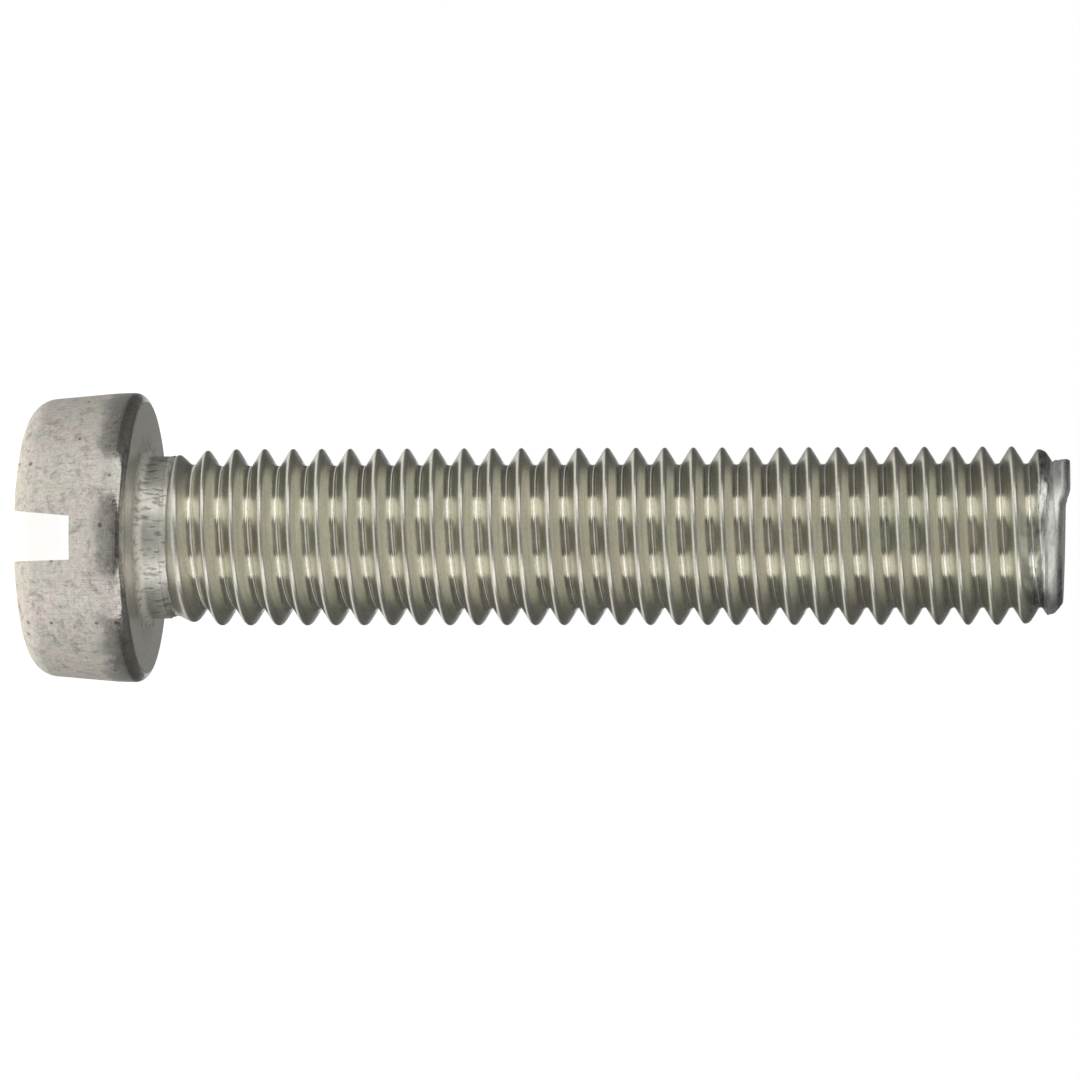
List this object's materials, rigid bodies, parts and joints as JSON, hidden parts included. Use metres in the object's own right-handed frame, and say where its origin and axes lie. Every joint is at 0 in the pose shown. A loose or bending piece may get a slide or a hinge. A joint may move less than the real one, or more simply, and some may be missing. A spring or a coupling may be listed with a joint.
{
  "type": "machine screw",
  "caption": "Slotted cheese-head machine screw with a short plain neck and a rolled right-hand metric thread up to its as-rolled end.",
  "frame": {"origin": "centre of the bearing face under the head, on the screw's axis", "axes": "+Z along the shank from the head to the tip, Y along the driver slot; the screw stands on its head"},
  "size_m": [0.0126, 0.0126, 0.0452],
  "materials": {
    "steel": "satin"
  },
  "bodies": {
    "root": {"screw": "steel"}
  },
  "joints": []
}
